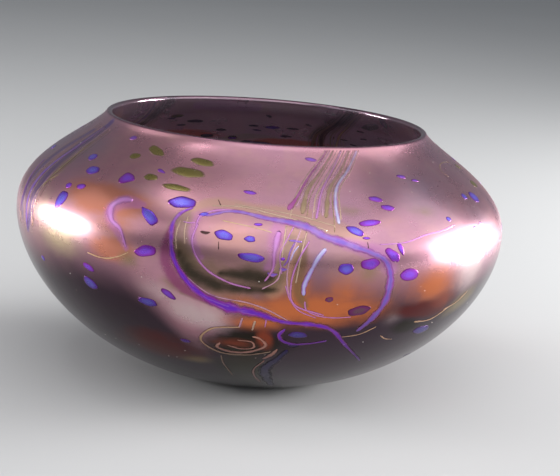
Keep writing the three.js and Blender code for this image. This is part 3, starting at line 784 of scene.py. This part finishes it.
def thread_glass(name, core, edge, pale, softness=0.34, shade_top=0.048):
    """Trailed glass: a core, an edge colour on both sides that thins out to nothing, and pale cords, with
    a painted highlight on the shoulder and painted shade low down.
    """
    mix = Recipe(name)
    across = mix.painted("across")
    along = mix.painted("along")
    lane = mix.node("ShaderNodeCombineXYZ", {}, {0: across * 2.4, 1: along * 0.1})
    cords = mix.cloud(1.8, 3, 0.6, 0.4, lane)
    blots = mix.cloud(160, 3, 0.6)
    waves = mix.cloud(0.22, 2, 0.5, 0, mix.node("ShaderNodeCombineXYZ", {}, {0: along, 1: across * 0.6}))
    side = mix.node("ShaderNodeMath", {"operation": "ABSOLUTE"}, {0: across})
    worn = side + (blots - 0.5) * 0.4 + (waves - 0.5) * 0.7
    colour = mix.blend(worn.edge(0.1, 0.6), core, edge)
    colour = mix.blend(cords.edge(0.52, 0.62) * 0.45, colour, pale)
    # Painted highlight: the thread turns pale in streaks on the shoulder.
    colour = mix.blend(mix.highlight_above() * (waves.edge(0.4, 0.62) * 0.55 + 0.2), colour, pale)
    # Painted shade: the thread darkens low on the wall.
    colour = mix.blend(mix.shade_below(0.022, shade_top) * 0.7, colour, (0.02, 0.01, 0.03))
    colour = mix.blend(mix.neck_above() * 0.5, colour, (0.36, 0.20, 0.28))
    return mix.glaze(
        Base_Color=colour,
        Metallic=0.85,
        Roughness=0.24 + blots * 0.12,
        Alpha=(1 - worn.edge(1 - 2 * softness, 1)) * (1 - mix.neck_above() * 0.45),
        Coat_Weight=0.1,
        Coat_Roughness=0.08,
    )


def chip_glass(name, heart, shoulder, rim, fade=0.96, veil=(0.28, 0.17, 0.26)):
    """A melted chip: a bright heart, a shoulder round it and a thin dark rim, with painted shade low down.
    """
    mix = Recipe(name)
    out = mix.painted("rim")
    blots = mix.cloud(220, 3, 0.6)
    worn = out + (blots - 0.5) * 0.3
    colour = mix.blend(worn.edge(0.3, 0.8), heart, shoulder)
    colour = mix.blend(worn.edge(0.8, 0.95), colour, rim)
    # Painted shade: the chip darkens low on the wall.
    colour = mix.blend(mix.shade_below(0.034, 0.060) * 0.75, colour, (0.02, 0.01, 0.06))
    colour = mix.blend(mix.neck_above() * 0.45, colour, veil)
    return mix.glaze(
        Base_Color=colour,
        Metallic=0.8,
        Roughness=0.22 + blots * 0.12,
        Alpha=1 - worn.edge(fade, 1.08) * 0.85,
        Coat_Weight=0.2,
        Coat_Roughness=0.06,
    )


THREAD_GLASSES = {
    "blue": ((0.23, 0.13, 0.60), (0.42, 0.10, 0.40), (0.42, 0.25, 0.62), 0.34, 0.064),
    "violet": ((0.17, 0.025, 0.56), (0.34, 0.05, 0.32), (0.46, 0.20, 0.58)),
    "magenta": ((0.42, 0.08, 0.34), (0.40, 0.07, 0.26), (0.50, 0.16, 0.42)),
    "pink": ((0.62, 0.24, 0.60), (0.58, 0.20, 0.46), (0.70, 0.34, 0.74), 0.48),
    "olive": ((0.32, 0.23, 0.12), (0.44, 0.29, 0.19), (0.54, 0.37, 0.25), 0.48),
    "gold": ((0.70, 0.46, 0.24), (0.55, 0.26, 0.20), (0.85, 0.66, 0.40)),
    "fawn": ((0.60, 0.42, 0.30), (0.52, 0.32, 0.26), (0.66, 0.46, 0.36)),
    "mauve": ((0.62, 0.34, 0.46), (0.54, 0.26, 0.36), (0.70, 0.42, 0.54)),
    "white": ((0.50, 0.48, 0.84), (0.46, 0.20, 0.66), (0.78, 0.74, 0.92)),
    "dark": ((0.045, 0.02, 0.03), (0.09, 0.03, 0.04), (0.14, 0.08, 0.06)),
    "peach": ((0.72, 0.36, 0.26), (0.62, 0.22, 0.14), (0.85, 0.55, 0.42)),
    "navy": ((0.012, 0.004, 0.10), (0.02, 0.005, 0.07), (0.03, 0.012, 0.15)),
}
CHIP_GLASSES = {
    "blue": ((0.18, 0.15, 0.74), (0.16, 0.06, 0.58), (0.15, 0.01, 0.22)),
    "violet": ((0.27, 0.08, 0.75), (0.28, 0.04, 0.50), (0.20, 0.01, 0.20)),
    "magenta": ((0.20, 0.08, 0.10), (0.22, 0.02, 0.14), (0.12, 0.01, 0.05)),
    "olive": ((0.20, 0.16, 0.04), (0.23, 0.18, 0.06), (0.40, 0.28, 0.17), 0.7,
              (0.24, 0.18, 0.07)),
    "green": ((0.06, 0.12, 0.03), (0.07, 0.10, 0.03), (0.03, 0.04, 0.02)),
    "dark": ((0.07, 0.03, 0.10), (0.05, 0.015, 0.06), (0.02, 0.005, 0.02)),
}

# Hair-thin threads that lie loose on the wall, by glass.

LOOSE_HAIRS = {
    "white": [
        [[8.6, 101, 0.5], [7.6, 98.6, 0.6], [6.9, 95.5, 0.5]],
    ],
    "blue": [
        [[6.4, 102.6, 0.7], [7.8, 102.5, 1], [9.4, 102.2, 0.6]],
        [[7.8, 102.1, 0.5], [6.8, 98.6, 0.7], [6.4, 95.6, 0.8], [5.6, 93.8, 0.6]],
        [[4.8, 93, 1], [5.6, 92.6, 1.6], [6.4, 92.8, 0.9]],
        [[2.4, 91.2, 0.9], [3.6, 90.6, 1.6], [4.6, 91, 0.9]],
    ],
    "mauve": [
        [[-17.3, 93.3, 0.5], [-15.4, 89.1, 0.6], [-12.5, 85, 0.6], [-8.9, 81.4, 0.6], [-5.8, 80.4, 0.6],
         [-1.2, 79.6, 0.6], [3, 77.4, 0.6], [6, 74.8, 0.5], [8.7, 72.1, 0.4]],
        [[5.2, 94, 0.5], [4.6, 89, 0.6], [1.6, 85.2, 0.5]],
        [[-2, 73, 0.9], [-2.6, 68.2, 0.8]],
        [[9.4, 108, 0.5], [8, 101.8, 0.6], [6.6, 93.9, 0.6], [6.6, 89, 0.6], [7.3, 83.9, 0.6],
         [8.6, 79.8, 0.5]],
    ],
    "fawn": [
        [[0.8, 72.1, 0.9], [0.3, 67.2, 0.8]],
        [[6, 108, 0.6], [5.4, 101, 0.7], [5.2, 95, 0.6]],
        [[10.4, 106, 0.6], [9.4, 100, 0.7], [8.8, 94, 0.7], [8.4, 88, 0.6]],
        [[-15.6, 108, 0.4], [-15.6, 103, 0.6], [-15, 98, 0.4]],
        [[-17, 106, 0.4], [-17.2, 101, 0.5], [-16.6, 96, 0.4]],
        [[-11, 113.4, 0.5], [-4, 114.2, 0.7], [3, 112.2, 0.7], [9, 110, 0.7], [15, 106.6, 0.6]],
        [[-6, 115.2, 0.4], [2, 113.8, 0.5], [9, 112, 0.6], [17, 108.4, 0.5]],
    ],
    "pink": [
        [[-13.4, 104, 0.8], [-13, 108.4, 1.1], [-11, 110.9, 1.2], [-7, 112.4, 1.1], [-3, 112.2, 0.8]],
        [[10.8, 81.3, 0.6], [11.4, 78, 0.7], [13.8, 75.7, 0.7], [17.7, 74.6, 0.6], [22, 74.8, 0.5]],
        [[26.6, 101.5, 0.5], [33.4, 101.8, 0.6], [39.3, 103.8, 0.6], [44.9, 104.6, 0.6], [50.4, 106, 0.4]],
        [[-13.6, 106, 0.5], [-15.2, 105.6, 0.6], [-16.4, 105.8, 0.4]],
        [[3.2, 74.7, 0.7], [3.1, 69.2, 0.6]],
        [[7.8, 108.4, 0.6], [6.1, 102.8, 0.6], [4.8, 97.6, 0.6], [5.4, 91, 0.5]],
        [[6.4, 87, 0.5], [7.6, 82, 0.6], [9.8, 77.6, 0.6], [14, 74.4, 0.5]],
        [[47, 94, 0.5], [50, 94.4, 0.8], [53.6, 92.8, 0.4]],
        [[60.4, 103, 0.5], [61.6, 104.2, 0.9], [63, 102, 0.5]],
    ],
    "gold": [
        [[32, 64.4, 0.5], [34.1, 62.2, 0.7], [36.7, 61.3, 0.5]],
        [[-7.2, 50.7, 0.5], [-6.9, 44.6, 0.7], [-5.8, 39.5, 0.7], [-4.7, 33.2, 0.5]],
        [[77.6, 130, 0.4], [72, 131.4, 0.5], [67, 131, 0.5], [64, 128.6, 0.5], [64.6, 125.4, 0.4]],
        [[-38.4, 88.5, 0.5], [-35.4, 88, 0.7], [-32.6, 88.3, 0.7], [-29.6, 90, 0.6], [-27.4, 92, 0.4]],
        [[21.4, 65, 0.4], [25.6, 66, 0.6], [29.4, 69.4, 0.5]],
        [[49.3, 73, 0.5], [53.5, 75, 0.7], [57.1, 79, 0.5]],
        [[-59, 112, 0.5], [-62, 106, 0.6], [-62.4, 98, 0.5], [-60, 90, 0.4]],
        [[-8, 108, 0.4], [0, 106.2, 0.4], [3, 105, 0.4]],
        [[100, 110, 0.5], [108, 104, 0.7], [110, 95, 0.6]],
        [[-170, 74, 0.5], [-160, 70, 0.7], [-150, 72, 0.5]],
    ],
    "peach": [
        [[-7.1, 59.1, 1], [-8, 56.5, 1.4], [-5.8, 54.5, 1.6], [-1.9, 54.2, 1.6], [1.5, 56.2, 1.4],
         [3.8, 59.7, 1.4], [2.2, 63.4, 1.2], [0.4, 64.2, 0.8]],
        [[-5.4, 58, 0.6], [-2, 56.6, 0.9], [1, 58, 0.9], [0.6, 61, 0.8], [-3, 61.6, 0.5]],
        [[6.8, 57.8, 1.2], [5.6, 54, 1.8], [3.6, 50.6, 1.4]],
    ],
    "dark": [
        [[-10, 116.4, 0.3], [-8.9, 113.6, 0.5]],
        [[-8, 100.4, 0.3], [-7.8, 97.6, 0.4]],
        [[23.8, 102.6, 0.3], [23.9, 99.4, 0.5]],
        [[-12.2, 103, 0.9], [-10.8, 102.8, 1.1], [-10, 103.2, 0.6]],
    ],
    "navy": [[[8.6, 61.6, 1.6], [10.4, 60.6, 3.4], [12, 60.8, 1.6]]],
}

# Glass, azimuth, climb, length, width, tilt and taper of each chip; the last two are 0 if left out.

CHIPS = {
    "leaf_chip": ("blue", -18, 113.2, 10, 5, 4, 0.1),
    "triangle_chip": ("violet", -35.6, 119.3, 6.6, 5, 2, 0.4),
    "eye_chip": ("blue", 10.8, 66.2, 6.6, 3.2, -4),
    "ring_chip": ("magenta", 23.4, 77.4, 8.8, 4, 8),
    "left_shoulder_chip": ("blue", -48.3, 118.9, 6.6, 4.2, 8),
    "left_drop_chip": ("blue", -50.8, 103.8, 7.4, 5.4, 75, -0.3),
    "left_small_chip": ("violet", -47.1, 111, 4.6, 2.4, 8),
    "belly_drop_chip": ("blue", -24.6, 106, 9.4, 3.6, -34, -0.4),
    "belly_violet_chip": ("violet", -23.4, 93.6, 8.8, 3.8, 14),
    "lower_left_chip": ("blue", -38.8, 76.4, 7, 4.2, -24),
    "lower_violet_chip": ("violet", -18.2, 79.2, 6.2, 2.6, -34),
    "lower_blue_chip": ("blue", -23.4, 74.2, 7.6, 3.4, -4),
    "loop_first_chip": ("blue", -7.1, 102.7, 6.6, 3.4, -10, 0.1),
    "loop_second_chip": ("blue", -1.6, 102.2, 3.8, 2.2, 2),
    "loop_low_chip": ("blue", -1, 96, 9, 3, -5),
    "right_upper_chip": ("violet", 29.5, 119.6, 5.4, 2.6, -12),
    "right_second_chip": ("violet", 31.8, 115.6, 5.6, 2.6, -10),
    "right_long_chip": ("violet", 25.4, 109.6, 9, 2.5, 6),
    "right_blue_chip": ("blue", 21.4, 106.6, 6.4, 3.2, -22),
    "inside_loop_chip": ("blue", 18.8, 93.4, 5.6, 4, -4),
    "loop_bend_chip": ("violet", 24.2, 95, 7.6, 3.8, 6),
    "outside_bend_chip": ("violet", 29.6, 97.7, 6.8, 3.6, -42),
    "outside_loop_chip": ("violet", 34.1, 90.4, 8, 4.6, -2),
    "far_right_chip": ("blue", 68.2, 113.8, 6.6, 5, -25),
    "low_right_chip": ("blue", 45.4, 64, 9.6, 4, -6),
    "upper_olive_chip": ("olive", -34, 134.7, 8.6, 3.8, -20),
    "neck_olive_chip": ("olive", -17.7, 132.9, 9.6, 3.6, -8),
    "long_olive_chip": ("olive", -20.3, 127, 13.4, 4.8, -5),
    "faint_olive_chip": ("olive", -21.2, 119.2, 12, 2.8, -4),
    "back_green_chip": ("green", 138, 135.8, 12, 3.6, -20),
    "back_neck_chip": ("dark", -155, 127, 8, 3, 4),
    "back_middle_chip": ("blue", 178, 124, 7, 3, -6),
}

# Chips too small to be solids of their own, by glass, written as above.

SMALL_CHIPS = {
    "blue": [
        (-12.2, 109.6, 3.6, 1.6, 14), (-56.6, 79.2, 3, 2.2), (-53.7, 124.4, 4.8, 3.6, 7),
        (62.8, 115.6, 3.6, 2.8, -10), (49.1, 108.5, 2.6, 2), (58, 103, 2.4, 1.6), (84, 96, 5, 3, 10),
        (96, 112, 7, 3.4, -14), (118, 104, 6, 3, 8), (104, 78, 5.4, 3, 20), (-84, 118, 6, 3, 12),
        (-118, 112, 7, 3.6, -8), (-122, 84, 6, 3, 16), (-150, 104, 6.4, 3, -12), (-160, 86, 5, 3, 6),
        (140, 96, 6, 3.4), (176, 70, 6, 2.6, 10), (-96, 66, 5, 2.6), (128, 62, 5.6, 2.8, -8),
    ],
    "violet": [
        (-51.5, 109.8, 3.4, 2.4), (-46.5, 138.2, 3.7, 2.2, 8), (-27.7, 125.6, 3.8, 1.5, -22, 0.3),
        (-38.4, 82.9, 5.6, 2.6, -18), (-15.9, 57.3, 4, 2.2, -6), (-0.1, 107.7, 3, 1.2),
        (-2.7, 120.9, 4.6, 1.8, -6, 0.2), (14.5, 138.4, 4.4, 1.8, -10), (42.8, 129.4, 4.4, 2, -12),
        (46.9, 126.9, 3.6, 1.4, -9), (23.7, 103.9, 3, 1, -4), (31.8, 99.6, 5, 2, -68, 0.4),
        (5.4, 96.2, 1.6, 1.2), (90, 128, 5, 2.6), (110, 126, 4, 2, 10), (-92, 130, 4, 2),
        (-112, 124, 5, 2.4, -16), (-170, 112, 4.4, 2.4), (160, 76, 5, 2, 30),
    ],
    "magenta": [
        (16, 82.2, 3, 2), (124, 92, 5, 2.6),
    ],
    "olive": [
        (-39.4, 130.2, 5, 3.2, 8), (-29.4, 121.9, 6.2, 3.2), (82, 126, 6, 2.8, -14),
        (78, 117.6, 7, 3.6, -10), (100, 134, 7, 3), (-100, 136, 8, 3, 6), (-146, 132, 7, 2.8),
    ],
    "dark": [
        (-151, 123.2, 4.6, 1.8), (-165.6, 118.8, 5, 2, 4), (-162, 113, 6.4, 3), (-175.8, 124.4, 4.8, 1.8),
        (-177.1, 120.3, 4.2, 1.6, 6), (-174.5, 108.8, 6.4, 3.2), (179.3, 133.7, 3, 1.6, 24),
        (171, 124.5, 5.8, 2), (173.6, 116.5, 6, 1.8, -4), (165, 129.6, 3.6, 1.8, 30),
        (154.2, 120, 3.6, 1.4), (151.6, 116.2, 4.4, 1.6, 8), (144.8, 130.7, 4.4, 1.6),
        (146, 124, 4.4, 1.6, -10), (136.2, 123.5, 4, 2, 20), (129.4, 140.4, 6, 4.4, 60, 0.3),
        (-145, 130, 4, 1.8), (-170, 113, 4, 1.6), (57, 42, 8, 2.6, -12),
    ],
}


def hair_routes(left, right, count):
    """Routes side by side between two edges, each of its own width and a little out of line."""
    left, right = np.array(left, dtype=float), np.array(right, dtype=float)
    routes = []
    for part in np.linspace(0, 1, count):
        route = left + (right - left) * np.clip(part + dice.uniform(-0.03, 0.03), 0, 1)
        route[:, 2] = dice.uniform(0.3, 0.75)
        route[-1, 1] += dice.uniform(-5, 4)
        routes.append(route)
    return routes


def seed_glass():
    """Pale glass with soft brown blots."""
    mix = Recipe("seed_glass")
    blots = mix.cloud(40, 2)
    colour = mix.blend(blots.edge(0.45, 0.55), (0.75, 0.68, 0.62), (0.45, 0.32, 0.28))
    return mix.glaze(Base_Color=colour, Metallic=0.3, Roughness=0.3)


def seed_shapes(count):
    """Specks of pale glass 0.2 to 0.6 mm long, sown by even chance over azimuth and climb."""
    climbs = dice.uniform(12, 138, count)
    azimuths = dice.uniform(-180, 180, count)
    sizes = dice.uniform(0.22, 0.6, count)
    return [
        chip_shape(azimuth, climb, size, size * 0.8, 0, 0, 0.12, 0.2, 3, 8)
        for azimuth, climb, size in zip(azimuths, climbs, sizes)
    ]


def decorate():
    """Makes every thread, trail, chip, seed and hair, and lays it on the body."""
    threads = {
        name: thread_glass(name + "_thread_glass", *shades) for name, shades in THREAD_GLASSES.items()
    }
    melts = {name: chip_glass(name + "_chip_glass", *shades) for name, shades in CHIP_GLASSES.items()}
    for name, (glass, route) in THREADS.items():
        shapes = [thread_shape(route, PROUD, WIDER.get(name, SPREADS.get(glass, SPREAD)))]
        piece_of_shapes(name + "_melted", shapes, threads[glass], [name])
    for name, (glass, *facts) in CHIPS.items():
        piece_of_shapes(name + "_melted", [chip_shape(*facts)], melts[glass], [name])
    for glass, listed in SMALL_CHIPS.items():
        shapes = [chip_shape(*facts, rings=7, sides=20) for facts in listed]
        piece_of_shapes("small_" + glass + "_chips", shapes, melts[glass])
    piece_of_shapes("seed_specks", seed_shapes(SEEDS), seed_glass())
    for glass, routes in LOOSE_HAIRS.items():
        shapes = [thread_shape(route, HAIR_PROUD, HAIR_SPREAD, 0.5, 10) for route in routes]
        piece_of_shapes("loose_" + glass + "_hairs", shapes, threads[glass])
    for name, (left, right, count) in HAIR_RIBBONS.items():
        routes = hair_routes(left, right, count)
        for turn, glass in enumerate(HAIR_COLOURS):
            chosen = routes[turn :: len(HAIR_COLOURS)]
            shapes = [thread_shape(route, HAIR_PROUD, HAIR_SPREAD, 1.2, 8) for route in chosen]
            piece_of_shapes(name + "_" + glass + "_hairs", shapes, threads[glass])


# ---- the studio

TARGET = Vector((0, 0, 0.27 * 2 * BULGE_RADIUS * MM))
CAMERA_REACH = 3.2 * 2 * BULGE_RADIUS * MM
CAMERA_RISE = math.radians(12.6)
CAMERA_ROLL = math.radians(4.4)
LENS = 98.5
SENSOR_WIDTH = 36
CAMERA_SHIFT = (0.0396, -0.0018)
FLOOR_REACH = 4.0


def set_camera():
    """A long lens in front of the bowl, raised a little and rolled."""
    data = bpy.data.cameras.new("camera")
    data.lens = LENS
    data.sensor_width = SENSOR_WIDTH
    data.shift_x, data.shift_y = CAMERA_SHIFT
    camera = bpy.data.objects.new("camera", data)
    bpy.context.scene.collection.objects.link(camera)
    away = Vector((0, -math.cos(CAMERA_RISE), math.sin(CAMERA_RISE)))
    camera.location = TARGET + away * CAMERA_REACH
    camera.rotation_mode = "QUATERNION"
    camera.rotation_quaternion = away.to_track_quat("Z", "Y") @ Quaternion((0, 0, 1), CAMERA_ROLL)
    bpy.context.scene.camera = camera


def soft_light(name, place, size, power):
    """A flat white lamp of a width and height in metres, facing the bowl."""
    data = bpy.data.lights.new(name, "AREA")
    data.shape = "RECTANGLE"
    data.size, data.size_y = size
    data.energy = power
    lamp = bpy.data.objects.new(name, data)
    bpy.context.scene.collection.objects.link(lamp)
    lamp.location = place
    lamp.rotation_euler = (Vector(place) - TARGET).to_track_quat("Z", "Y").to_euler()


def set_studio():
    """Two small windows, soft panels round the bowl, a dim room and a pale floor."""
    soft_light("left_window", (-0.93, 0.10, 0.13), (0.34, 0.22), 8)
    soft_light("right_window", (0.87, 0.26, 0.11), (0.44, 0.36), 23)
    soft_light("left_panel", (-1.2, -0.17, 0.85), (1.4, 0.7), 2.6)
    soft_light("high_left_lamp", (-0.65, 0.0, 1.5), (0.45, 0.14), 0.6)
    soft_light("right_panel", (1.3, -0.02, 0.92), (1.8, 1.2), 8)
    soft_light("front_panel", (0.25, -1.6, 1.6), (3.3, 1.7), 18)
    soft_light("low_front_panel", (0.75, -1.5, 0.5), (2.2, 0.6), 2.4)
    soft_light("overhead", (0.12, -0.3, 1.75), (2.2, 1.4), 7.6)
    world = bpy.data.worlds.new("room")
    world.use_nodes = True
    background = world.node_tree.nodes["Background"]
    background.inputs["Color"].default_value = (0.62, 0.66, 0.72, 1.0)
    background.inputs["Strength"].default_value = 0.3
    bpy.context.scene.world = world
    bpy.context.scene.view_settings.view_transform = "Standard"

    mesh = bpy.data.meshes.new("floor")
    corners = [(-1, -1), (1, -1), (1, 1), (-1, 1)]
    mesh.from_pydata([(x * FLOOR_REACH, y * FLOOR_REACH, 0) for x, y in corners], [], [(0, 1, 2, 3)])
    floor = bpy.data.objects.new("floor", mesh)
    bpy.context.scene.collection.objects.link(floor)
    mix = Recipe("pale_floor")
    cloudy = mix.cloud(2, 3)
    colour = mix.blend(cloudy, (0.56, 0.56, 0.56), (0.60, 0.60, 0.60))
    mesh.materials.append(mix.glaze(Base_Color=colour, Roughness=0.8))


set_camera()
set_studio()
make_body(lustred_amethyst())
decorate()
